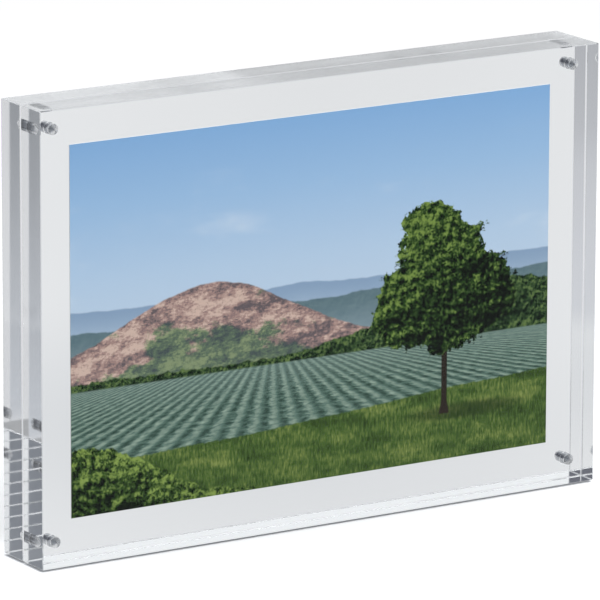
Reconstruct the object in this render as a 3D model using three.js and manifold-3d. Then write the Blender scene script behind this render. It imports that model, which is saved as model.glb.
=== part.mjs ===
// Acrylic photo frame: two clear blocks, held together by pairs of magnets, with a print between them.
// Millimetres. +X is the viewer's right, -Y faces the viewer and +Z is up.
// The origin is at the foot of the frame, midway along it, on the parting plane between the blocks.

import * as THREE from 'three';
import { mergeVertices } from 'three/addons/utils/BufferGeometryUtils.js';
import Module from 'manifold-3d';

// Print
const printWidth = 150;
const printHeight = 100;
const printThickness = 0.25;

// Clear border of the blocks around the print
const sideBorder = 12;
const topBorder = 11;
const bottomBorder = 11;

// Blocks
const blockThickness = 10;
const edgeChamfer = 0.2;
const printClearance = 0.05; // air on each side of the print

// Magnets, one at each corner of each block, sunk into its mating face
const magnetDiameter = 3;
const magnetLength = 3;
const magnetChamfer = 0.15;
const magnetInset = 5.9; // from the magnet's axis to the two nearest edges of the block
const magnetFit = 0.1; // film of glue between the magnet and its hole
const magnetRecess = 0.1; // from the mating face to the magnet's outer end
const holeRunOut = 0.8; // from the magnet's inner end to where its hole begins to taper
const drillPointAngle = 90; // degrees across the hole's conical end
const magnetSides = 32;

// Sizes that follow from those above
const blockWidth = printWidth + 2 * sideBorder;
const blockHeight = bottomBorder + printHeight + topBorder;
const matingFaceY = printThickness / 2 + printClearance;
const magnetRadius = magnetDiameter / 2;
const holeRadius = magnetRadius + magnetFit;
const holeDepth = magnetRecess + magnetLength + holeRunOut;
const holeTip = holeDepth + holeRadius / Math.tan(THREE.MathUtils.degToRad(drillPointAngle / 2));
const magnetX = blockWidth / 2 - magnetInset;
const magnetTopZ = blockHeight - magnetInset;
const magnetBottomZ = magnetInset;

// Each corner's name and the place of its magnets' axis
const corners = [
  { name: 'top_left', x: -magnetX, z: magnetTopZ },
  { name: 'top_right', x: magnetX, z: magnetTopZ },
  { name: 'bottom_left', x: -magnetX, z: magnetBottomZ },
  { name: 'bottom_right', x: magnetX, z: magnetBottomZ },
];

// Each block lies on its own side of the parting plane: -1 is towards the viewer
const sides = [
  { name: 'front', direction: -1 },
  { name: 'rear', direction: 1 },
];

const acrylicLook = {
  color: 0xe8ecef,
  roughness: 0.03,
  metalness: 0,
  transparent: true,
  opacity: 0.35,
  flatShading: true,
};
const nickelLook = { color: 0xa9abb0, roughness: 0.25, metalness: 1 };
const paperLook = { color: 0x9db6c8, roughness: 0.45, metalness: 0 };

const wasm = await Module();
wasm.setup();

// A closed geometry as a solid that can be cut
function solidFrom(geometry) {
  const bare = geometry.clone();
  bare.deleteAttribute('normal');
  bare.deleteAttribute('uv');
  const merged = mergeVertices(bare);
  const mesh = new wasm.Mesh({
    numProp: 3,
    vertProperties: new Float32Array(merged.attributes.position.array),
    triVerts: new Uint32Array(merged.index.array),
  });
  return new wasm.Manifold(mesh);
}

// A cut solid as a geometry
function geometryFrom(solid) {
  const mesh = solid.getMesh();
  const geometry = new THREE.BufferGeometry();
  geometry.setAttribute('position', new THREE.BufferAttribute(mesh.vertProperties, 3));
  geometry.setIndex(new THREE.BufferAttribute(mesh.triVerts, 1));
  geometry.computeVertexNormals();
  return geometry;
}

// The block seen from the front, with its four corners chamfered
function blockOutline() {
  const right = blockWidth / 2;
  const left = -right;
  const outline = new THREE.Shape();
  outline.moveTo(left + edgeChamfer, 0);
  outline.lineTo(right - edgeChamfer, 0);
  outline.lineTo(right, edgeChamfer);
  outline.lineTo(right, blockHeight - edgeChamfer);
  outline.lineTo(right - edgeChamfer, blockHeight);
  outline.lineTo(left + edgeChamfer, blockHeight);
  outline.lineTo(left, blockHeight - edgeChamfer);
  outline.lineTo(left, edgeChamfer);
  outline.closePath();
  return outline;
}

// A polished block with chamfered edges, its mating face on the plane y = 0
function plainBlock(side) {
  const depth = blockThickness - 2 * edgeChamfer;
  const geometry = new THREE.ExtrudeGeometry(blockOutline(), {
    depth,
    bevelEnabled: true,
    bevelThickness: edgeChamfer,
    bevelSize: edgeChamfer,
    bevelOffset: -edgeChamfer,
    bevelSegments: 1,
  });
  geometry.rotateX(Math.PI / 2);
  geometry.translate(0, depth / 2 + side.direction * blockThickness / 2, 0);
  return geometry;
}

// The cut for one magnet's drilled hole, which stands as far out of the mating face as into the block
function magnetHole(corner) {
  const profile = [
    new THREE.Vector2(0, -holeTip),
    new THREE.Vector2(holeRadius, -holeDepth),
    new THREE.Vector2(holeRadius, holeDepth),
    new THREE.Vector2(0, holeTip),
  ];
  const geometry = new THREE.LatheGeometry(profile, magnetSides);
  geometry.translate(corner.x, 0, corner.z);
  return solidFrom(geometry);
}

// A block with a blind hole at each corner of its mating face
function block(side) {
  let solid = solidFrom(plainBlock(side));
  for (const corner of corners) {
    solid = solid.subtract(magnetHole(corner));
  }
  const mesh = new THREE.Mesh(geometryFrom(solid), new THREE.MeshStandardMaterial(acrylicLook));
  mesh.name = `${side.name}_block`;
  return mesh;
}

// One magnet: a short cylinder with chamfered rims, in its hole
function magnet(side, corner) {
  const end = magnetLength / 2;
  const profile = [
    new THREE.Vector2(0, -end),
    new THREE.Vector2(magnetRadius - magnetChamfer, -end),
    new THREE.Vector2(magnetRadius, magnetChamfer - end),
    new THREE.Vector2(magnetRadius, end - magnetChamfer),
    new THREE.Vector2(magnetRadius - magnetChamfer, end),
    new THREE.Vector2(0, end),
  ];
  const geometry = new THREE.LatheGeometry(profile, magnetSides);
  const mesh = new THREE.Mesh(geometry, new THREE.MeshStandardMaterial(nickelLook));
  mesh.name = `${side.name}_magnet_${corner.name}`;
  mesh.position.set(corner.x, side.direction * (magnetRecess + magnetLength / 2), corner.z);
  return mesh;
}

// A block and its four magnets
function blockWithMagnets(side) {
  const assembly = new THREE.Group();
  assembly.add(block(side));
  for (const corner of corners) {
    assembly.add(magnet(side, corner));
  }
  return assembly;
}

// The print, a flat sheet between the two mating faces
function photoPrint() {
  const geometry = new THREE.BoxGeometry(printWidth, printThickness, printHeight);
  const mesh = new THREE.Mesh(geometry, new THREE.MeshStandardMaterial(paperLook));
  mesh.name = 'photo_print';
  mesh.position.set(0, 0, bottomBorder + printHeight / 2);
  return mesh;
}

const group = new THREE.Group();
for (const side of sides) {
  const assembly = blockWithMagnets(side);
  assembly.position.y = side.direction * matingFaceY;
  group.add(assembly);
}
group.add(photoPrint());

export default group;
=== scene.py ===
"""Looks of an acrylic photo frame: two clear blocks, nickel magnets and a print between them.

Metres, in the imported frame's own axes: +X is the viewer's right, -Y faces the viewer and +Z is up.
"""

import logging
import math
from dataclasses import dataclass, field
from enum import Enum

import bmesh
import bpy
from mathutils import Matrix, Vector


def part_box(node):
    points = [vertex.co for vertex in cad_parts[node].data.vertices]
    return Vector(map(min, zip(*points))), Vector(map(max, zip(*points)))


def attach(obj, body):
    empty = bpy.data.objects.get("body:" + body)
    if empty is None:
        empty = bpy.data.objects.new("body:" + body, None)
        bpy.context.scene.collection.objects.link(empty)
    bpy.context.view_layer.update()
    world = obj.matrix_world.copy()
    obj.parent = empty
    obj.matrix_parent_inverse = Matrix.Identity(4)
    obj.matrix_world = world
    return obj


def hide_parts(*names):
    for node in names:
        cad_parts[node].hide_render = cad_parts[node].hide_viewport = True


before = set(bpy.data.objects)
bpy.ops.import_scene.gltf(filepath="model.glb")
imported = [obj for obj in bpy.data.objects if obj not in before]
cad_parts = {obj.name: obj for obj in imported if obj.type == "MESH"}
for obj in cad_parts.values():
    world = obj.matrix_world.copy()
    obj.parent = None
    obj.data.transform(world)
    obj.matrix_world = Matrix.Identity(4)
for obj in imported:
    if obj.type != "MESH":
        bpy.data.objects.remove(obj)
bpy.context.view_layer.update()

LOG = logging.getLogger("photo_frame")
MM = 0.001

Material = bpy.types.Material
Node = bpy.types.Node
NodeTree = bpy.types.NodeTree
Object = bpy.types.Object
Socket = bpy.types.NodeSocket
Colour = tuple[float, float, float, float]
Axis = tuple[float, float, float]
Point = tuple[float, float]
Ease = tuple[float, float, float, float]
Stops = tuple[tuple[float, Colour], ...]
Feed = Socket | float | tuple[float, ...]

ALONG_X: Axis = (1.0, 0.0, 0.0)
ALONG_Y: Axis = (0.0, 1.0, 0.0)
ALONG_Z: Axis = (0.0, 0.0, 1.0)
ORIGIN: Axis = (0.0, 0.0, 0.0)
WHITE: Colour = (1.0, 1.0, 1.0, 1.0)


class Side(Enum):
    """The two halves of the frame, and which way each lies from the parting plane along Y."""

    FRONT = -1
    REAR = 1

    @property
    def body(self) -> str:
        """The moving body, and the first word of the nodes, on this side."""
        return self.name.lower()


class Corner(Enum):
    """The four corners that hold magnets."""

    TOP_LEFT = "top_left"
    TOP_RIGHT = "top_right"
    BOTTOM_LEFT = "bottom_left"
    BOTTOM_RIGHT = "bottom_right"


class Slot(Enum):
    """The record's material slots."""

    ACRYLIC = "acrylic"
    NICKEL = "nickel"
    PRINT = "print"


class Zone(Enum):
    """The kinds of surface on a block, in the order of its materials."""

    FACE = 0
    EDGE = 1
    TOP = 2
    CHAMFER = 3
    FOOT = 4
    HEEL = 5
    SCRAPED = 6
    HOLE = 7


def srgb(*levels: int) -> Colour:
    """Turns a colour picked on screen into the linear one that shaders use.

    Args:
        levels: Red, green and blue, each from 0 to 255.

    Returns:
        The linear colour with an alpha of 1.
    """

    def linear(level: int) -> float:
        """One channel, from 0 to 255, as a linear value."""
        share = level / 255
        return share / 12.92 if share <= 0.04045 else ((share + 0.055) / 1.055) ** 2.4

    return (*map(linear, levels), 1.0)


class Graph:
    """Writes the nodes of one tree."""

    def __init__(self, tree: NodeTree) -> None:
        """Keeps the tree that the nodes go in."""
        self.tree = tree

    def node(self, kind: str, **settings: object) -> Node:
        """Adds a node.

        Args:
            kind: The node's class without its ShaderNode prefix.
            settings: The node's own properties.

        Returns:
            The new node.
        """
        made = self.tree.nodes.new("ShaderNode" + kind)
        for name, value in settings.items():
            setattr(made, name, value)
        return made

    def feed(self, target: Socket, source: Feed) -> None:
        """Links a socket to its source, or sets it where the source is a plain value.

        Args:
            target: The socket.
            source: The socket or the value that it takes.
        """
        if isinstance(source, Socket):
            self.tree.links.new(source, target)
        else:
            target.default_value = source

    def fill(self, made: Node, sources: dict[str, Feed]) -> Node:
        """Feeds several inputs of a node.

        Args:
            made: The node.
            sources: What the inputs are fed with, by their names.

        Returns:
            The same node.
        """
        for name, source in sources.items():
            self.feed(made.inputs[name], source)
        return made

    def result(self, kind: str, *sources: Feed, **settings: object) -> Socket:
        """Adds a node and feeds its first inputs in their order.

        Args:
            kind: The node's class without its ShaderNode prefix.
            sources: What the inputs are fed with.
            settings: The node's own properties.

        Returns:
            The node's first output.
        """
        made = self.node(kind, **settings)
        for target, source in zip(made.inputs, sources):
            self.feed(target, source)
        return made.outputs[0]

    def math(self, operation: str, first: Feed, second: Feed = 0.0) -> Socket:
        """Works out one value from two, or from the first alone if the operation takes one."""
        return self.result("Math", first, second, operation=operation)

    def add(self, first: Feed, second: Feed) -> Socket:
        """The sum of two values."""
        return self.math("ADD", first, second)

    def less(self, first: Feed, second: Feed) -> Socket:
        """The first value less the second."""
        return self.math("SUBTRACT", first, second)

    def times(self, first: Feed, second: Feed) -> Socket:
        """The product of two values."""
        return self.math("MULTIPLY", first, second)

    def span(self, value: Feed, start: float, end: float, low: float = 0.0, high: float = 1.0) -> Socket:
        """Eases from low to high while a value goes from start to end."""
        return self.result("MapRange", value, start, end, low, high, interpolation_type="SMOOTHSTEP")

    def mix(self, share: Feed, first: Feed, second: Feed) -> Socket:
        """Mixes two colours.

        Args:
            share: How much of the second colour there is.
            first: The first colour.
            second: The second colour.

        Returns:
            The mixed colour.
        """
        made = self.node("Mix", data_type="RGBA")
        for index, source in ((0, share), (6, first), (7, second)):
            self.feed(made.inputs[index], source)
        return made.outputs[2]

    def ramp(self, value: Feed, stops: Stops) -> Socket:
        """Reads a colour off a line of stops.

        Args:
            value: Where on the line it is read.
            stops: Pairs (place, colour) in order of their place.

        Returns:
            The colour.
        """
        made = self.node("ValToRGB")
        start, end = stops[0][0], stops[-1][0]
        self.feed(made.inputs[0], self.math("DIVIDE", self.less(value, start), end - start))
        line = made.color_ramp.elements
        for place, colour in stops[1:-1]:
            line.new((place - start) / (end - start)).color = colour
        line[0].color = stops[0][1]
        line[len(stops) - 1].color = stops[-1][1]
        return made.outputs[0]

    def noise(self, vector: Socket, scale: Feed, detail: float, roughness: float = 0.5) -> Socket:
        """Noise about 0.5, with some finer layers, which are as strong as the roughness."""
        sources = {"Vector": vector, "Scale": scale, "Detail": detail, "Roughness": roughness}
        return self.fill(self.node("TexNoise"), sources).outputs["Fac"]

    def wave(self, vector: Socket, scale: float, detail: float, roughness: float) -> Socket:
        """Noise that swings about 0."""
        return self.less(self.noise(vector, scale, detail, roughness), 0.5)

    def speckle(self, vector: Socket, scale: float, depth: float) -> Socket:
        """Gives each of many small cells a value of its own, up to half the depth from 0."""
        cells = self.fill(self.node("TexVoronoi"), {"Vector": vector, "Scale": scale})
        return self.times(self.less(self.reach(cells.outputs["Color"], ALONG_X), 0.5), depth)

    def stretch(self, vector: Socket, factors: Axis) -> Socket:
        """Stretches a vector by its own factor along each axis."""
        return self.result("VectorMath", vector, factors, operation="MULTIPLY")

    def shift(self, vector: Socket, offset: Feed) -> Socket:
        """Moves a vector by an offset."""
        return self.result("VectorMath", vector, offset, operation="ADD")

    def seen_from(self, vector: Socket, point: Axis) -> Socket:
        """A vector as counted from a fixed point."""
        return self.result("VectorMath", vector, point, operation="SUBTRACT")

    def reach(self, vector: Socket, axis: Axis) -> Socket:
        """How far a vector reaches along an axis."""
        return self.result("VectorMath", vector, axis, operation="DOT_PRODUCT").node.outputs["Value"]

    def gap(self, vector: Socket, point: Axis) -> Socket:
        """The distance from a fixed point."""
        return self.result("VectorMath", vector, point, operation="DISTANCE").node.outputs["Value"]

    def place(self) -> Socket:
        """The place on the object, in metres."""
        return self.node("TexCoord").outputs["Object"]

    def bump(self, height: Socket, distance: float) -> Socket:
        """Turns a height from 0 to 1 into a normal, where a height of 1 stands out by the distance."""
        return self.fill(self.node("Bump"), {"Distance": distance, "Height": height}).outputs[0]


def new_material(name: str) -> tuple[Material, Graph, Socket]:
    """Starts a material.

    Args:
        name: The material's name.

    Returns:
        The material, its graph with only the output in it, and the surface that the output takes.
    """
    material = bpy.data.materials.new(name)
    material.use_nodes = True
    material.node_tree.nodes.clear()
    graph = Graph(material.node_tree)
    return material, graph, graph.node("OutputMaterial").inputs["Surface"]


class Effects:
    """Surface effects that are used more than once, each a node group that is built once."""

    smear_detail: float = 4.0
    smear_edges: Point = (0.42, 0.72)
    grain_layers: Point = (5.0, 0.65)
    relief_layers: Point = (6.0, 0.62)
    flat_light: float = 0.5

    def __init__(self) -> None:
        """Builds every group."""
        self.handling = self.build_handling()
        self.grain = self.build_grain()
        self.relief = self.build_relief()

    def start(self, name: str, inputs: dict[str, str], output: str) -> tuple[Graph, dict, Socket]:
        """Starts a group with one value as its output.

        Args:
            name: The group's name.
            inputs: The kind of each input socket, by name.
            output: The output's name.

        Returns:
            The group's graph, its inputs by name and its output.
        """
        group = bpy.data.node_groups.new(name, "ShaderNodeTree")
        for label, kind in inputs.items():
            group.interface.new_socket(label, in_out="INPUT", socket_type="NodeSocket" + kind)
        group.interface.new_socket(output, in_out="OUTPUT", socket_type="NodeSocketFloat")
        entry = group.nodes.new("NodeGroupInput")
        leave = group.nodes.new("NodeGroupOutput")
        return Graph(group), entry.outputs, leave.inputs[output]

    def use(self, graph: Graph, group: NodeTree, **values: Feed) -> Socket:
        """Places a group in a graph, with values for its inputs by their names in lower case."""
        sources = {label.capitalize(): value for label, value in values.items()}
        return graph.fill(graph.node("Group", node_tree=group), sources).outputs[0]

    def build_handling(self) -> NodeTree:
        """Builds the roughness of a surface that has been wiped and handled.

        Returns:
            The group.
        """
        sockets = {"Scale": "Float", "Low": "Float", "High": "Float"}
        graph, entry, leave = self.start("handling", sockets, "Roughness")
        smears = graph.noise(graph.place(), entry["Scale"], self.smear_detail)
        rise = graph.less(entry["High"], entry["Low"])
        added = graph.times(rise, graph.span(smears, *self.smear_edges))
        graph.feed(leave, graph.add(entry["Low"], added))
        return graph.tree

    def build_grain(self) -> NodeTree:
        """Builds a fine unevenness, from 0 to 1, as of paper fibres or plating.

        Returns:
            The group.
        """
        graph, entry, leave = self.start("grain", {"Scale": "Float"}, "Height")
        graph.feed(leave, graph.noise(graph.place(), entry["Scale"], *self.grain_layers))
        return graph.tree

    def build_relief(self) -> NodeTree:
        """Builds rough ground in low light: 0.5 where it is flat, more where it faces the light.

        Returns:
            The group.
        """
        sockets = {"Vector": "Vector", "Scale": "Float", "Step": "Vector", "Contrast": "Float"}
        graph, entry, leave = self.start("relief", sockets, "Light")
        moved = graph.shift(entry["Vector"], entry["Step"])
        here, there = (
            graph.noise(spot, entry["Scale"], *self.relief_layers) for spot in (entry["Vector"], moved)
        )
        slope = graph.times(graph.less(here, there), entry["Contrast"])
        graph.feed(leave, graph.add(slope, self.flat_light))
        return graph.tree


EFFECTS = Effects()


@dataclass(frozen=True)
class Wiping:
    """The roughness that wiping and handling leave on a surface."""

    low: float
    high: float
    smears_per_metre: float = 35.0

    def roughness(self, graph: Graph) -> Socket:
        """The roughness, which goes from low to high over the smears."""
        values = {"scale": self.smears_per_metre, "low": self.low, "high": self.high}
        return EFFECTS.use(graph, EFFECTS.handling, **values)


@dataclass(frozen=True)
class AcrylicFinish:
    """Clear cast acrylic, which lets lamplight straight through to the print and the floor."""

    clear: Colour
    wiping: Wiping = Wiping(0.0, 0.01)
    ior: float = 1.56
    lamp_tint: Colour = (0.965, 0.968, 0.97, 1.0)
    mirror: float = 1.0
    transmission: float = 1.0

    def material(self, name: str) -> Material:
        """Makes the material.

        Args:
            name: The material's name.

        Returns:
            The material.
        """
        material, graph, surface = new_material(name)
        sources = {
            "Base Color": self.clear,
            "IOR": self.ior,
            "Specular Tint": (self.mirror, self.mirror, self.mirror, 1.0),
            "Transmission Weight": self.transmission,
            "Roughness": self.wiping.roughness(graph),
        }
        path = graph.node("LightPath")
        through = graph.result("BsdfTransparent", self.lamp_tint)
        seen = graph.fill(graph.node("BsdfPrincipled"), sources).outputs[0]
        for ray in ("Is Shadow Ray", "Is Diffuse Ray"):
            seen = graph.result("MixShader", path.outputs[ray], seen, through)
        graph.feed(surface, seen)
        return material


@dataclass(frozen=True)
class GrainyFinish:
    """An opaque finish whose fine grain changes its colour and stands out a little."""

    name: str
    light: Colour
    dark: Colour
    grains_per_metre: float
    grain_depth: float
    wiping: Wiping
    metallic: float = 0.0

    def material(self) -> Material:
        """Makes the material.

        Returns:
            The material.
        """
        material, graph, surface = new_material(self.name)
        grain = EFFECTS.use(graph, EFFECTS.grain, scale=self.grains_per_metre)
        sources = {
            "Base Color": graph.mix(grain, self.dark, self.light),
            "Metallic": self.metallic,
            "Roughness": self.wiping.roughness(graph),
            "Normal": graph.bump(grain, self.grain_depth),
        }
        shader = graph.fill(graph.node("BsdfPrincipled"), sources)
        graph.feed(surface, shader.outputs[0])
        return material


# Nickel plate with the faint marks of tumbling
NICKEL_PLATE = GrainyFinish(
    name="nickel_plate",
    light=srgb(190, 192, 196),
    dark=srgb(164, 166, 171),
    grains_per_metre=2500.0,
    grain_depth=0.0008 * MM,
    wiping=Wiping(0.14, 0.3, smears_per_metre=900.0),
    metallic=1.0,
)

# The white base of the print, as seen on its back and its cut edges
BARE_PAPER = GrainyFinish(
    name="paper_back",
    light=srgb(243, 242, 238),
    dark=srgb(226, 225, 220),
    grains_per_metre=1400.0,
    grain_depth=0.01 * MM,
    wiping=Wiping(0.5, 0.7, smears_per_metre=60.0),
)


class Canvas(Graph):
    """The nodes of the picture, with the place that they paint.

    Places are counted in heights of the picture, from its lower left corner.
    """

    def __init__(self, tree: NodeTree, low: Vector, high: Vector) -> None:
        """Finds the place on the sheet.

        Args:
            tree: The tree that the nodes go in.
            low: The sheet's lowest corner.
            high: The sheet's highest corner.
        """
        super().__init__(tree)
        unit = 1 / (high.z - low.z)
        place = self.place()
        self.across = self.times(self.less(self.reach(place, ALONG_X), low.x), unit)
        self.up = self.times(self.less(self.reach(place, ALONG_Z), low.z), unit)
        self.spot = self.result("CombineXYZ", self.across, self.up)
        self.colour: Feed = WHITE

    def lay(self, share: Socket, colour: Feed) -> None:
        """Paints a share of a colour over what is there."""
        self.colour = self.mix(share, self.colour, colour)


@dataclass(frozen=True)
class Ridge:
    """The skyline of one layer of land.

    Its waves, swell and rough, are each a height and a scale. Its hump is a centre, a width and a rise.
    """

    level: float
    seed: float
    swell: Point
    rough: Point
    slope: float = 0.0
    pivot: float = 0.75
    hump: Axis = (0.0, 1.0, 0.0)
    soft: float = 0.003
    wave_details: Point = (1.0, 5.0)
    wave_roughness: float = 0.6

    def edge(self, canvas: Canvas) -> tuple[Socket, Socket]:
        """Finds the land.

        Args:
            canvas: The picture's nodes.

        Returns:
            How far the spot lies below the skyline, and the share of land there.
        """
        line = canvas.add(canvas.times(canvas.less(canvas.across, self.pivot), self.slope), self.level)
        flat = canvas.shift(canvas.stretch(canvas.spot, ALONG_X), (0.0, self.seed, 0.0))
        for (height, scale), detail in zip((self.swell, self.rough), self.wave_details):
            wave = canvas.wave(flat, scale, detail, self.wave_roughness)
            line = canvas.add(line, canvas.times(wave, 2 * height))
        centre, width, rise = self.hump
        if rise:
            away = canvas.times(canvas.less(canvas.across, centre), 1 / width)
            bell = canvas.math("EXPONENT", canvas.times(canvas.times(away, away), -1.0))
            line = canvas.add(line, canvas.times(bell, rise))
        drop = canvas.less(line, canvas.up)
        return drop, canvas.span(drop, -self.soft, self.soft)


@dataclass(frozen=True)
class Relief:
    """Low light on rough ground, and its share of all the light there."""

    scale: float
    step: Axis
    contrast: float
    share: float = 1.0

    def light(self, canvas: Canvas, spot: Socket) -> Socket:
        """The light at a spot, times its share."""
        values = {"vector": spot, "scale": self.scale, "step": self.step, "contrast": self.contrast}
        return canvas.times(EFFECTS.use(canvas, EFFECTS.relief, **values), self.share)


@dataclass(frozen=True)
class Mottle:
    """Noise that is drawn out by its own factor along each axis."""

    drawn: Axis
    detail: float
    roughness: float
    scale: float = 1.0
    start: Axis = ORIGIN

    def value(self, canvas: Canvas, spot: Socket) -> Socket:
        """The noise at a spot."""
        there = canvas.shift(canvas.stretch(spot, self.drawn), self.start)
        return canvas.noise(there, self.scale, self.detail, self.roughness)


@dataclass(frozen=True)
class Greenery:
    """The leaves of a wood, a bush or a tree.

    The light on its clumps and on its finer twigs is each a contrast and a share.
    """

    shade: Colour
    leaf: Colour
    shine: Colour
    clumps: float
    seed: float
    lean: Axis = (-0.12, 0.2, 0.0)
    clump_light: Point = (-2.4, 0.6)
    twigs_per_clump: float = 4.5
    twig_light: Point = (-1.3, 0.4)
    leaves: Point = (170.0, 0.24)
    lights: Axis = (0.34, 0.52, 0.74)

    def colour(self, canvas: Canvas, sun: Feed = 0.0) -> Socket:
        """Paints the leaves.

        Args:
            canvas: The picture's nodes.
            sun: How much lighter or darker than usual they are.

        Returns:
            The colour.
        """
        there = canvas.shift(canvas.spot, (self.seed, self.seed, 0.0))
        step = tuple(part / self.clumps for part in self.lean)
        lit = Relief(self.clumps, step, *self.clump_light).light(canvas, there)
        fine = Relief(self.clumps * self.twigs_per_clump, step, *self.twig_light).light(canvas, there)
        light = canvas.add(canvas.add(lit, fine), sun)
        light = canvas.add(light, canvas.speckle(there, *self.leaves))
        return canvas.ramp(light, tuple(zip(self.lights, (self.shade, self.leaf, self.shine))))


@dataclass(frozen=True)
class Wood:
    """A rise that is covered with leaves, and the sun from its skyline downwards."""

    ridge: Ridge
    leaves: Greenery
    sun: Ease

    def lay(self, canvas: Canvas) -> None:
        """Lays the rise over what is behind it."""
        drop, land = self.ridge.edge(canvas)
        canvas.lay(land, self.leaves.colour(canvas, canvas.span(drop, *self.sun)))


@dataclass(frozen=True)
class Tree:
    """A tree on the meadow: its crown of circles, its trunk and the shade at its foot."""

    leaves: Greenery = Greenery(srgb(6, 12, 6), srgb(44, 70, 30), srgb(122, 146, 70), 17.0, 23.0)
    crown: tuple[Axis, ...] = (
        (1.16, 0.53, 0.15),
        (1.05, 0.44, 0.11),
        (1.27, 0.45, 0.12),
        (1.17, 0.42, 0.13),
        (1.12, 0.64, 0.09),
    )
    crown_edge: Point = (1.03, 0.97)
    ragged: Axis = (16.0, 6.0, 0.68)
    ragged_depth: float = 1.5
    sunward: Axis = (-0.55, 0.83, 0.0)
    sun: Ease = (-0.2, 0.25, -0.13, 0.11)
    trunk_middle: float = 1.165
    trunk_sides: Point = (0.0108, 0.0072)
    trunk_top: Point = (0.4, 0.39)
    trunk_foot: Point = (0.125, 0.13)
    flare: Ease = (0.125, 0.17, 1.8, 1.0)
    bark: Colour = srgb(44, 36, 30)
    shade_middle: Axis = (1.235, 0.13, 0.0)
    shade_flatness: Axis = (1.0, 8.0, 1.0)
    shade_reach: Ease = (0.24, 0.1, 0.0, 0.6)
    shade: Colour = srgb(24, 38, 18)

    def lay(self, canvas: Canvas) -> None:
        """Stands the tree in front of what is behind it.

        Args:
            canvas: The picture's nodes.
        """
        flat = canvas.stretch(canvas.seen_from(canvas.spot, self.shade_middle), self.shade_flatness)
        canvas.lay(canvas.span(canvas.gap(flat, ORIGIN), *self.shade_reach), self.shade)
        aside = canvas.math("ABSOLUTE", canvas.less(canvas.across, self.trunk_middle))
        aside = canvas.math("DIVIDE", aside, canvas.span(canvas.up, *self.flare))
        bole = canvas.span(aside, *self.trunk_sides)
        for end in (self.trunk_top, self.trunk_foot):
            bole = canvas.times(bole, canvas.span(canvas.up, *end))
        canvas.lay(bole, self.bark)
        shares = [canvas.times(canvas.gap(canvas.spot, (x, y, 0.0)), 1 / size) for x, y, size in self.crown]
        near = shares[0]
        for share in shares[1:]:
            near = canvas.math("MINIMUM", near, share)
        reach = canvas.add(near, canvas.times(canvas.wave(canvas.spot, *self.ragged), self.ragged_depth))
        top_x, top_y, _ = self.crown[0]
        sunny = canvas.reach(canvas.seen_from(canvas.spot, (top_x, top_y, 0.0)), self.sunward)
        leaves = self.leaves.colour(canvas, canvas.span(sunny, *self.sun))
        canvas.lay(canvas.span(reach, *self.crown_edge), leaves)


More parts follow.
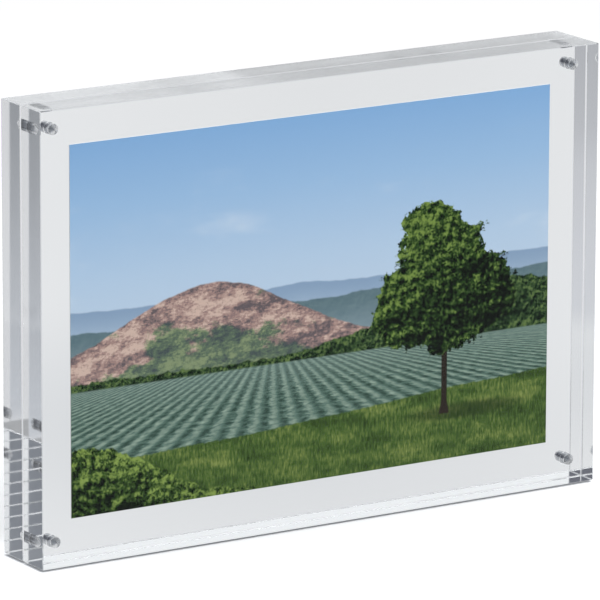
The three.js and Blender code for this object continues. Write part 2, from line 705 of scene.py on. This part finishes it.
@dataclass(frozen=True)
class PictureFinish:
    """The printed side: a made-up landscape of hills, a field and a tree, under a satin coat."""

    gloss: float = 0.08
    wiping: Wiping = Wiping(0.3, 0.45, smears_per_metre=60.0)
    haze: Colour = srgb(196, 212, 228)
    sky_tones: Stops = (
        (0.45, haze),
        (0.62, srgb(184, 207, 229)),
        (0.82, srgb(158, 192, 225)),
        (1.0, srgb(136, 177, 219)),
    )
    cloud: Colour = srgb(226, 233, 240)
    clouds: Mottle = Mottle((1.0, 2.6, 1.0), 8.0, 0.58, scale=2.3, start=(4.2, 1.7, 0.0))
    cloud_edges: Point = (0.52, 0.78)
    cloud_fade: Ease = (0.95, 0.7, 0.0, 0.6)
    far: Ridge = Ridge(level=0.545, seed=3.1, swell=(0.05, 1.6), rough=(0.012, 8.0))
    far_tones: tuple[Colour, Colour] = (srgb(140, 164, 190), srgb(172, 192, 210))
    far_fade: Point = (0.0, 0.1)
    middle: Ridge = Ridge(level=0.49, seed=8.7, swell=(0.06, 2.2), rough=(0.012, 14.0))
    middle_woods: Relief = Relief(30.0, (-0.004, 0.006, 0.0), -1.2)
    middle_tones: tuple[Colour, Colour] = (srgb(74, 100, 112), srgb(116, 138, 140))
    middle_mist: Colour = srgb(160, 178, 186)
    middle_fade: Ease = (0.0, 0.14, 0.0, 0.5)
    heath: Ridge = Ridge(
        level=0.38, seed=1.4, swell=(0.02, 2.5), rough=(0.008, 16.0), hump=(0.42, 0.36, 0.2)
    )
    heath_drawn: Axis = (1.0, 1.6, 1.0)
    heath_relief: tuple[Relief, Relief] = (
        Relief(7.0, (-0.02, 0.03, 0.0), -2.6, share=0.65),
        Relief(45.0, (-0.004, 0.006, 0.0), -1.6, share=0.35),
    )
    heath_sun: Ease = (0.348, 0.78, 0.04, -0.07)
    heath_stones: Point = (130.0, 0.16)
    soil: Stops = ((0.3, srgb(84, 62, 58)), (0.5, srgb(162, 124, 110)), (0.7, srgb(212, 180, 160)))
    scrub: Stops = ((0.3, srgb(30, 44, 28)), (0.5, srgb(74, 94, 52)), (0.7, srgb(126, 140, 86)))
    scrub_patches: Mottle = Mottle(heath_drawn, 6.0, 0.65, scale=6.0, start=(2.0, 6.0, 0.0))
    scrub_spread: Ease = (0.03, 0.2, -0.1, 0.2)
    scrub_edges: Point = (0.5, 0.58)
    heath_haze: float = 0.1
    wood: Wood = Wood(
        ridge=Ridge(level=0.35, seed=5.2, swell=(0.02, 3.0), rough=(0.018, 26.0), hump=(1.35, 0.42, 0.13)),
        leaves=Greenery(srgb(12, 24, 14), srgb(46, 70, 40), srgb(100, 122, 68), 26.0, 4.0),
        sun=(0.0, 0.13, 0.05, -0.06),
    )
    field_edge: Point = (0.347, 0.343)
    far_point: Point = (0.62, 0.43)
    rows: float = 26.0
    row_light: float = 0.15
    row_sway: float = 2.5
    field_clumps: Mottle = Mottle((9.0, 22.0, 1.0), 5.0, 0.65)
    field_tones: Stops = ((0.28, srgb(50, 72, 62)), (0.5, srgb(92, 118, 106)), (0.76, srgb(148, 167, 150)))
    field_mist: Colour = srgb(146, 166, 158)
    field_fade: Ease = (0.2, 0.05, 0.0, 0.35)
    hedge: Ridge = Ridge(level=0.352, seed=6.6, swell=(0.01, 6.0), rough=(0.016, 40.0))
    hedge_foot: Point = (0.333, 0.339)
    meadow: Ridge = Ridge(level=0.17, seed=2.6, swell=(0.035, 1.8), rough=(0.006, 60.0), slope=0.05)
    grass_blades: Mottle = Mottle((150.0, 42.0, 1.0), 5.0, 0.7)
    grass_patches: Mottle = Mottle((5.0, 16.0, 1.0), 4.0, 0.6)
    blade_share: float = 0.55
    grass_tones: Stops = ((0.34, srgb(22, 38, 16)), (0.5, srgb(72, 98, 43)), (0.66, srgb(144, 156, 84)))
    tree: Tree = Tree()
    bushes: Wood = Wood(
        ridge=Ridge(level=-0.02, seed=9.3, swell=(0.03, 3.0), rough=(0.03, 18.0), hump=(0.05, 0.3, 0.2)),
        leaves=Greenery(srgb(6, 14, 4), srgb(52, 78, 32), srgb(136, 158, 78), 14.0, 11.0),
        sun=(0.0, 0.16, 0.1, -0.1),
    )

    def sky(self, canvas: Canvas) -> None:
        """Paints the sky with a few thin clouds.

        Args:
            canvas: The picture's nodes.
        """
        canvas.colour = canvas.ramp(canvas.up, self.sky_tones)
        wisps = canvas.span(self.clouds.value(canvas, canvas.spot), *self.cloud_edges)
        canvas.lay(canvas.times(wisps, canvas.span(canvas.up, *self.cloud_fade)), self.cloud)

    def hills(self, canvas: Canvas) -> None:
        """Lays the two hazy rows of hills over the sky.

        Args:
            canvas: The picture's nodes.
        """
        drop, land = self.far.edge(canvas)
        canvas.lay(land, canvas.mix(canvas.span(drop, *self.far_fade), *self.far_tones))
        drop, land = self.middle.edge(canvas)
        tone = canvas.mix(self.middle_woods.light(canvas, canvas.spot), *self.middle_tones)
        canvas.lay(land, canvas.mix(canvas.span(drop, *self.middle_fade), tone, self.middle_mist))

    def heathland(self, canvas: Canvas) -> None:
        """Lays the bare, rosy hill over the others.

        Args:
            canvas: The picture's nodes.
        """
        drop, land = self.heath.edge(canvas)
        drawn = canvas.stretch(canvas.spot, self.heath_drawn)
        light = canvas.span(canvas.across, *self.heath_sun)
        for relief in self.heath_relief:
            light = canvas.add(light, relief.light(canvas, drawn))
        light = canvas.add(light, canvas.speckle(drawn, *self.heath_stones))
        patches = self.scrub_patches.value(canvas, canvas.spot)
        spread = canvas.add(patches, canvas.span(drop, *self.scrub_spread))
        soil, scrub = (canvas.ramp(light, tones) for tones in (self.soil, self.scrub))
        ground = canvas.mix(canvas.span(spread, *self.scrub_edges), soil, scrub)
        canvas.lay(land, canvas.mix(self.heath_haze, ground, self.haze))

    def cropland(self, canvas: Canvas) -> None:
        """Lays a sage field over the foot of the hills, its rows running to a far point.

        Args:
            canvas: The picture's nodes.
        """
        far_x, far_y = self.far_point
        down = canvas.less(far_y, canvas.up)
        fan = canvas.math("DIVIDE", canvas.less(canvas.across, far_x), down)
        there = canvas.result("CombineXYZ", fan, canvas.math("LOGARITHM", down, 2.0))
        clumps = self.field_clumps.value(canvas, there)
        turn = canvas.add(canvas.times(fan, self.rows), canvas.times(clumps, self.row_sway))
        light = canvas.add(canvas.times(canvas.math("SINE", turn), self.row_light), clumps)
        tone = canvas.ramp(light, self.field_tones)
        tone = canvas.mix(canvas.span(down, *self.field_fade), tone, self.field_mist)
        canvas.lay(canvas.span(canvas.up, *self.field_edge), tone)

    def hedges(self, canvas: Canvas) -> None:
        """Lays the hedge at the far end of the field over it."""
        foot = canvas.span(canvas.up, *self.hedge_foot)
        canvas.lay(canvas.times(self.hedge.edge(canvas)[1], foot), self.wood.leaves.colour(canvas))

    def grass(self, canvas: Canvas) -> None:
        """Lays the near meadow over the field.

        Args:
            canvas: The picture's nodes.
        """
        blades = canvas.times(self.grass_blades.value(canvas, canvas.spot), self.blade_share)
        patches = canvas.times(self.grass_patches.value(canvas, canvas.spot), 1 - self.blade_share)
        green = canvas.ramp(canvas.add(blades, patches), self.grass_tones)
        canvas.lay(self.meadow.edge(canvas)[1], green)

    def material(self, sheet: tuple[Vector, Vector]) -> Material:
        """Makes the material.

        Args:
            sheet: The lowest and the highest corner of the sheet.

        Returns:
            The material.
        """
        material, graph, surface = new_material("printed_landscape")
        canvas = Canvas(graph.tree, *sheet)
        distant = (self.sky, self.hills, self.heathland, self.wood.lay, self.cropland, self.hedges)
        for layer in distant + (self.grass, self.tree.lay, self.bushes.lay):
            layer(canvas)
        sources = {
            "Base Color": canvas.colour,
            "Specular IOR Level": self.gloss,
            "Roughness": self.wiping.roughness(graph),
        }
        shader = graph.fill(graph.node("BsdfPrincipled"), sources)
        graph.feed(surface, shader.outputs[0])
        return material


def lathe(target: bmesh.types.BMesh, profile: list[Point], sides: int, centre: Vector) -> None:
    """Turns a profile about a line along Y into a closed skin.

    Args:
        target: The mesh that takes the skin.
        profile: Points (radius, y), from one end of the skin to the other.
        sides: How many sides the skin has.
        centre: A point on the axis, from which y is counted.
    """
    rings = []
    for radius, along in profile:
        turns = [2 * math.pi * step / sides for step in range(sides)]
        offsets = [Vector((radius * math.cos(turn), along, radius * math.sin(turn))) for turn in turns]
        rings.append([target.verts.new(centre + offset) for offset in offsets])
    for ring, following in zip(rings, rings[1:]):
        for step in range(sides):
            after = (step + 1) % sides
            wall = target.faces.new((ring[step], ring[after], following[after], following[step]))
            wall.smooth = True
    target.faces.new(rings[0])
    target.faces.new(rings[-1])


def chamfered_box(node: str, chamfer: float) -> bmesh.types.BMesh:
    """Makes a box of the size and place of a node, with its edges cut back.

    Args:
        node: The node's name.
        chamfer: How far the edges are cut back.

    Returns:
        The box as a mesh.
    """
    low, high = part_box(node)
    mesh = bmesh.new()
    bmesh.ops.create_cube(mesh, size=1.0)
    mesh.transform(Matrix.Translation((low + high) / 2) @ Matrix.Diagonal((*(high - low), 1.0)))
    bmesh.ops.bevel(mesh, geom=mesh.edges[:], offset=chamfer, segments=1, profile=0.5, affect="EDGES")
    return mesh


def object_from(target: bmesh.types.BMesh, name: str) -> Object:
    """Puts a finished mesh into the scene.

    Args:
        target: The mesh, which is freed.
        name: The object's name.

    Returns:
        The new object.
    """
    bmesh.ops.recalc_face_normals(target, faces=target.faces)
    mesh = bpy.data.meshes.new(name)
    target.to_mesh(mesh)
    target.free()
    made = bpy.data.objects.new(name, mesh)
    bpy.context.scene.collection.objects.link(made)
    return made


def install(piece: Object, node: str, body: str) -> None:
    """Puts a piece in a node's place.

    Args:
        piece: The piece.
        node: The CAD node that it stands for.
        body: The body that it moves with.
    """
    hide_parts(node)
    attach(piece, body)
    LOG.info("%s stands for %s and rides on %s", piece.name, node, body)


@dataclass
class Magnet:
    """One plated cylinder in a block's corner."""

    side: Side
    corner: Corner
    rim_radius: float = 0.25 * MM
    rim_steps: int = 6
    sides: int = 64

    @property
    def node(self) -> str:
        """The CAD node that this magnet stands for."""
        return f"{self.side.body}_magnet_{self.corner.value}"

    def sizes(self) -> tuple[Vector, float, float]:
        """The magnet's centre, its radius and its length, as they are in the frame."""
        low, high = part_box(self.node)
        return (low + high) / 2, (high.x - low.x) / 2, high.y - low.y

    def profile(self) -> list[Point]:
        """The outline of half the magnet, with rounded rims.

        Returns:
            Points (radius, y) from end to end.
        """
        _, radius, length = self.sizes()
        rim = []
        for step in range(self.rim_steps + 1):
            turn = math.pi / 2 * step / self.rim_steps
            inset = self.rim_radius * (1 - math.sin(turn))
            drop = self.rim_radius * (1 - math.cos(turn))
            rim.append((radius - inset, drop - length / 2))
        return rim + [(wide, -along) for wide, along in reversed(rim)]

    def build(self) -> Object:
        """Makes the magnet.

        Returns:
            The piece.
        """
        centre, _, _ = self.sizes()
        mesh = bmesh.new()
        lathe(mesh, self.profile(), self.sides, centre)
        return object_from(mesh, f"plated_{self.node}")

    def dress(self, piece: Object, plate: Material) -> None:
        """Gives the piece its finish and its place in the frame."""
        piece.data.materials.append(plate)
        install(piece, self.node, self.side.body)


@dataclass
class Block:
    """One clear block, with a blind hole for a magnet at each corner of its mating face."""

    side: Side
    magnets: list[Magnet]
    chamfer: float = 0.2 * MM
    grip: float = 0.02 * MM
    run_out: float = 0.8 * MM
    mouth_chamfer: float = 0.12 * MM
    drill_web: float = 0.1 * MM
    hole_sides: int = 96
    crease: float = math.radians(12)
    rim_share: float = 0.9

    @property
    def node(self) -> str:
        """The CAD node that this block stands for."""
        return f"{self.side.body}_block"

    def cutter(self) -> Object:
        """Makes the shapes of the four drilled holes, flared at the mating face and pointed at the end.

        A hole is a trace tighter than its magnet: nothing but clear glue is between the two.

        Returns:
            The shapes as one object.
        """
        low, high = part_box(self.node)
        face = high.y if self.side is Side.FRONT else low.y
        inward = self.side.value
        mesh = bmesh.new()
        for magnet in self.magnets:
            centre, radius, length = magnet.sizes()
            shoulder = (centre.y - face) * inward + length / 2 + self.run_out
            hole = radius - self.grip
            wide = hole + self.mouth_chamfer
            profile = (
                (wide, -shoulder),
                (wide, 0.0),
                (hole, self.mouth_chamfer),
                (hole, shoulder),
                (self.drill_web, shoulder + hole - self.drill_web),
            )
            outline = [(reach, along * inward) for reach, along in profile]
            lathe(mesh, outline, self.hole_sides, Vector((centre.x, face, centre.z)))
        return object_from(mesh, f"{self.node}_holes")

    def build(self) -> Object:
        """Makes the block and cuts its holes.

        Returns:
            The piece.
        """
        piece = object_from(chamfered_box(self.node, self.chamfer), f"polished_{self.node}")
        cutter = self.cutter()
        drill = piece.modifiers.new("drill", "BOOLEAN")
        drill.operation = "DIFFERENCE"
        drill.solver = "EXACT"
        drill.object = cutter
        drilled = piece.evaluated_get(bpy.context.evaluated_depsgraph_get())
        mesh = bpy.data.meshes.new_from_object(drilled)
        piece.modifiers.clear()
        piece.data = mesh
        bpy.data.objects.remove(cutter)
        mesh.shade_smooth()
        mesh.set_sharp_from_angle(angle=self.crease)
        return piece

    def zone(self, spot: Vector, low: Vector, high: Vector) -> Zone:
        """Tells what kind of surface a spot is on.

        Args:
            spot: The middle of a polygon.
            low: The block's lowest corner.
            high: The block's highest corner.

        Returns:
            The kind.
        """
        rim = self.rim_share * self.chamfer
        near_low = [spot[axis] - low[axis] < rim for axis in range(3)]
        near_high = [high[axis] - spot[axis] < rim for axis in range(3)]
        if not any(near_low + near_high):
            return Zone.HOLE
        chamfered = sum(near_low) + sum(near_high) > 1
        at_end = near_low[0] or near_high[0]
        if near_low[2]:
            return Zone.HEEL if chamfered else Zone.FOOT
        if near_high[2] and not at_end:
            return Zone.TOP
        if chamfered:
            return Zone.SCRAPED if near_high[2] else Zone.CHAMFER
        return Zone.EDGE if at_end else Zone.FACE

    def dress(self, piece: Object, finishes: dict[Zone, Material]) -> None:
        """Gives each kind of surface its finish, and the piece its place in the frame.

        Args:
            piece: The block.
            finishes: The finish of each kind of surface.
        """
        piece.data.materials.clear()
        for zone in Zone:
            piece.data.materials.append(finishes[zone])
        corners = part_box(self.node)
        for polygon in piece.data.polygons:
            polygon.material_index = self.zone(polygon.center, *corners).value
        install(piece, self.node, self.side.body)


@dataclass
class Print:
    """The sheet between the blocks, printed on the side that faces the viewer."""

    node: str = "photo_print"
    body: str = "print"
    cut_edge: float = 0.03 * MM
    facing: float = 0.9

    def build(self) -> Object:
        """Makes the sheet, with its edges eased."""
        return object_from(chamfered_box(self.node, self.cut_edge), "landscape_print")

    def dress(self, piece: Object, picture: Material, paper: Material) -> None:
        """Prints the front, leaves the back and the edges bare, and puts the sheet in its place.

        Args:
            piece: The sheet.
            picture: The finish of its front.
            paper: The finish of its back and edges.
        """
        piece.data.materials.append(picture)
        piece.data.materials.append(paper)
        for polygon in piece.data.polygons:
            polygon.material_index = 0 if polygon.normal.y < -self.facing else 1
        install(piece, self.node, self.body)


@dataclass
class Viewpoint:
    """The camera, given by where it looks and from which side."""

    azimuth: float = -32.258
    elevation: float = 13.487
    roll: float = 0.183
    distance: float = 1.7412
    target: Axis = (-1.71 * MM, 0.0, 59.73 * MM)
    lens: float = 392.5
    sensor: float = 36.0
    reach: float = 50.0

    def build(self) -> None:
        """Places the camera."""
        place = Matrix.Translation(self.target)
        for angle, axis in ((self.azimuth, "Z"), (90 - self.elevation, "X"), (self.roll, "Z")):
            place = place @ Matrix.Rotation(math.radians(angle), 4, axis)
        data = bpy.data.cameras.new("camera")
        data.lens = self.lens
        data.sensor_width = self.sensor
        data.clip_end = self.reach
        made = bpy.data.objects.new("camera", data)
        made.matrix_world = place @ Matrix.Translation((0.0, 0.0, self.distance))
        bpy.context.scene.collection.objects.link(made)
        bpy.context.scene.camera = made


@dataclass(frozen=True)
class Grade:
    """How brightly the table glows along a line, as painted light and shade: pairs (place in metres,
    level), with a tint.
    """

    levels: tuple[Point, ...]
    tint: Axis

    def stops(self) -> Stops:
        """The line as stops of colour."""
        return tuple((place, (*(part * level for part in self.tint), 1.0)) for place, level in self.levels)


@dataclass
class Floor:
    """The pale table that the frame stands on."""

    size: float = 8.0
    drop: float = 0.55 * MM
    white: Colour = (0.95, 0.95, 0.95, 1.0)
    shadow_reach: Point = (0.3, 0.8)
    across: Axis = (0.845, -0.534, 0.0)
    # Painted light and shade on the table as the blocks show it: darker to the left behind and in front.
    left_behind: Grade = Grade(
        levels=((-0.6, 0.42), (-0.36, 0.51), (-0.3, 0.58), (-0.235, 0.61), (-0.17, 0.635), (-0.11, 0.66)),
        tint=(0.98, 1.0, 1.06),
    )
    lane: Grade = Grade(
        levels=((-0.082, 0.82), (0.0, 0.79), (0.05, 0.8), (0.08, 0.815), (0.2, 0.815), (0.6, 0.75)),
        tint=(0.99, 1.0, 1.02),
    )
    front: Grade = Grade(
        levels=((-0.6, 0.24), (-0.49, 0.27), (-0.296, 0.37), (-0.156, 0.5), (-0.039, 0.61), (0.02, 0.65)),
        tint=(0.95, 1.0, 1.07),
    )
    parting: Point = (0.01, -0.02)
    beside: Axis = (0.423, 0.906, 0.0)
    beside_parting: Point = (0.047, 0.017)
    # Painted shadow: the table's glow is darkened towards this colour around shade_middle, behind the
    # frame, standing in for the frame's soft shadow.
    shade: Colour = (0.58, 0.6, 0.63, 1.0)
    shade_middle: Axis = (20 * MM, 110 * MM, 0.0)
    painted_shadow_fade: Ease = (0.17, 0.0, 0.0, 0.4)
    # Painted shade under the blocks: beneath a block's footprint the table's glow in mirror images follows
    # these grades and is darker to the right. The rear grade also holds a painted glint near 30 mm.
    painted_footprint_depth: Point = (10.8 * MM, 10.3 * MM)
    front_block_painted_shade: Grade = Grade(
        levels=((-0.09, 0.74), (-0.04, 0.74), (0.005, 0.76), (0.024, 0.73), (0.05, 0.47), (0.07, 0.42)),
        tint=(0.98, 1.0, 1.02),
    )
    rear_foot: Grade = Grade(
        levels=((-0.09, 1.0), (-0.04, 1.0), (0.0, 1.03), (0.03, 1.1), (0.036, 0.4), (0.06, 0.42)),
        tint=(0.98, 1.0, 1.02),
    )

    def light(self, graph: Graph, place: Socket, mirrored: Socket) -> Socket:
        """Works out the table's painted light in the blocks: even straight through, graded in mirror
        images.

        Args:
            graph: The material's graph.
            place: The place on the table.
            mirrored: 1 where the table is seen by way of a mirroring or scattering surface, else 0.

        Returns:
            The colour.
        """
        line = graph.reach(place, self.across)
        even = graph.ramp(line, self.lane.stops())
        graded = graph.ramp(line, self.left_behind.stops() + self.lane.stops())
        # Painted shadow behind the frame.
        painted_shadow_share = graph.span(graph.gap(place, self.shade_middle), *self.painted_shadow_fade)
        behind = graph.mix(painted_shadow_share, graph.mix(mirrored, even, graded), self.shade)
        depth = graph.reach(place, ALONG_Y)
        share = graph.span(graph.reach(place, self.beside), *self.beside_parting)
        share = graph.times(share, graph.span(depth, *self.parting))
        colour = graph.mix(graph.times(share, mirrored), behind, graph.ramp(depth, self.front.stops()))
        along = graph.reach(place, ALONG_X)
        # Painted shade and glint under the blocks' footprint, shown in mirror images only.
        painted_footprint_grades = [graph.ramp(along, foot.stops()) for foot in (self.front_block_painted_shade, self.rear_foot)]
        under = graph.mix(graph.math("GREATER_THAN", depth, 0.0), *painted_footprint_grades)
        painted_footprint_share = graph.span(graph.math("ABSOLUTE", depth), *self.painted_footprint_depth)
        return graph.mix(graph.times(painted_footprint_share, mirrored), colour, under)

    def finish(self) -> Material:
        """Makes the material: white with a shadow to the camera, and glowing with painted light in the
        blocks.

        Returns:
            The material.
        """
        material, graph, surface = new_material("pale_floor")
        path = graph.node("LightPath")
        turns = graph.add(path.outputs["Glossy Depth"], path.outputs["Diffuse Depth"])
        place = graph.place()
        # Every ray but the camera's sees the table glow with painted light and shade, not lamplight.
        glow = graph.result("Emission", self.light(graph, place, graph.math("MINIMUM", turns, 1.0)))
        near = graph.result("BsdfDiffuse", self.white)
        away = graph.span(graph.gap(place, ORIGIN), *self.shadow_reach)
        table = graph.result("MixShader", away, near, graph.result("Emission", WHITE))
        shown = graph.result("MixShader", path.outputs["Is Camera Ray"], glow, table)
        graph.feed(surface, shown)
        return material

    def build(self) -> None:
        """Lays the floor."""
        mesh = bmesh.new()
        bmesh.ops.create_grid(mesh, x_segments=1, y_segments=1, size=self.size / 2)
        mesh.transform(Matrix.Translation((0.0, 0.0, -self.drop)))
        made = object_from(mesh, "floor")
        made.data.materials.append(self.finish())


@dataclass(frozen=True)
class Glow:
    """A part of the surroundings with its own light, about one direction."""

    axis: Axis
    fade_from: float
    fade_to: float
    colour: Colour


@dataclass
class Surroundings:
    """The room: white to the camera, and dim with a few lighter and darker parts where it is mirrored."""

    ambient: Colour = (0.185, 0.204, 0.235, 1.0)
    glows: tuple[Glow, ...] = (
        Glow((0.534, 0.845, 0.0), 0.55, 0.9, (0.89, 0.91, 0.93, 1.0)),
        Glow((-0.534, 0.845, 0.0), 0.55, 0.9, (0.15, 0.155, 0.183, 1.0)),
        Glow((0.0, 0.0, 1.0), 0.4, 0.8, (0.63, 0.65, 0.68, 1.0)),
    )

    def build(self) -> None:
        """Makes the surroundings."""
        world = bpy.data.worlds.new("studio")
        world.use_nodes = True
        world.node_tree.nodes.clear()
        graph = Graph(world.node_tree)
        output = graph.node("OutputWorld")
        towards = graph.node("TexCoord").outputs["Generated"]
        colour: Feed = self.ambient
        for glow in self.glows:
            share = graph.span(graph.reach(towards, glow.axis), glow.fade_from, glow.fade_to)
            colour = graph.mix(share, colour, glow.colour)
        lit, white = (graph.result("Background", shade) for shade in (colour, WHITE))
        camera = graph.node("LightPath").outputs["Is Camera Ray"]
        graph.feed(output.inputs["Surface"], graph.result("MixShader", camera, lit, white))
        bpy.context.scene.world = world


@dataclass
class Lamp:
    """A large soft lamp that metal and acrylic don't mirror."""

    name: str
    stand: Axis
    size: float
    power: float
    aim: Axis = (0.0, 0.0, 60 * MM)

    def build(self) -> None:
        """Hangs the lamp."""
        data = bpy.data.lights.new(self.name, "AREA")
        data.shape = "SQUARE"
        data.size = self.size
        data.energy = self.power
        made = bpy.data.objects.new(self.name, data)
        made.location = self.stand
        towards = Vector(self.aim) - Vector(self.stand)
        made.rotation_euler = towards.to_track_quat("-Z", "Y").to_euler()
        made.visible_glossy = False
        made.visible_transmission = False
        bpy.context.scene.collection.objects.link(made)


@dataclass
class Studio:
    """The camera, the floor, the room and the lamps."""

    viewpoint: Viewpoint = field(default_factory=Viewpoint)
    floor: Floor = field(default_factory=Floor)
    surroundings: Surroundings = field(default_factory=Surroundings)
    lamps: tuple[Lamp, ...] = (
        Lamp("key_light", stand=(0.4, -1.1, 1.05), size=1.0, power=18.0),
        Lamp("top_light", stand=(0.0, 0.0, 1.5), size=2.0, power=16.0),
    )
    bounces: int = 48

    def settings(self) -> None:
        """Lets light bounce often enough inside the clear blocks, and shows colours as they are."""
        scene = bpy.context.scene
        scene.view_settings.view_transform = "Standard"
        for limit in ("max", "glossy", "transmission", "transparent_max"):
            setattr(scene.cycles, f"{limit}_bounces", self.bounces)

    def build(self) -> None:
        """Sets the whole studio up."""
        self.viewpoint.build()
        self.floor.build()
        self.surroundings.build()
        for lamp in self.lamps:
            lamp.build()
        self.settings()


@dataclass
class PhotoFrame:
    """The whole frame: a front and a rear half, and the print between them."""

    sheet: Print = field(default_factory=Print)
    foot_tint: Colour = srgb(118, 120, 123)

    def acrylic(self) -> dict[Zone, AcrylicFinish]:
        """The finish of each kind of surface on a block.

        Returns:
            The finishes by their kind of surface.
        """
        return {
            Zone.FACE: AcrylicFinish((0.985, 0.99, 0.99, 1.0), mirror=0.08),
            Zone.EDGE: AcrylicFinish((0.9, 0.905, 0.91, 1.0), Wiping(0.03, 0.06)),
            Zone.TOP: AcrylicFinish((0.97, 0.975, 0.98, 1.0), Wiping(0.12, 0.22)),
            Zone.CHAMFER: AcrylicFinish((0.95, 0.96, 0.97, 1.0), Wiping(0.12, 0.25)),
            Zone.FOOT: AcrylicFinish((0.985, 0.99, 0.99, 1.0), lamp_tint=self.foot_tint),
            Zone.HEEL: AcrylicFinish(
                (0.98, 0.985, 0.99, 1.0), Wiping(0.3, 0.45), lamp_tint=self.foot_tint, transmission=0.6
            ),
            Zone.SCRAPED: AcrylicFinish((0.95, 0.96, 0.97, 1.0), Wiping(0.4, 0.55), transmission=0.35),
            Zone.HOLE: AcrylicFinish((0.93, 0.935, 0.94, 1.0), Wiping(0.36, 0.46)),
        }

    def build(self) -> None:
        """Builds and dresses every piece."""
        finishes = {
            zone: finish.material(f"clear_acrylic_{zone.name.lower()}")
            for zone, finish in self.acrylic().items()
        }
        plate = NICKEL_PLATE.material()
        for side in Side:
            magnets = [Magnet(side, corner) for corner in Corner]
            block = Block(side, magnets)
            block.dress(block.build(), finishes)
            for magnet in magnets:
                magnet.dress(magnet.build(), plate)
        picture = PictureFinish().material(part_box(self.sheet.node))
        self.sheet.dress(self.sheet.build(), picture, BARE_PAPER.material())


def main() -> None:
    """Builds the frame and its studio."""
    logging.basicConfig(level=logging.INFO, format="%(name)s: %(message)s")
    Studio().build()
    PhotoFrame().build()


if __name__ == "__main__":
    main()
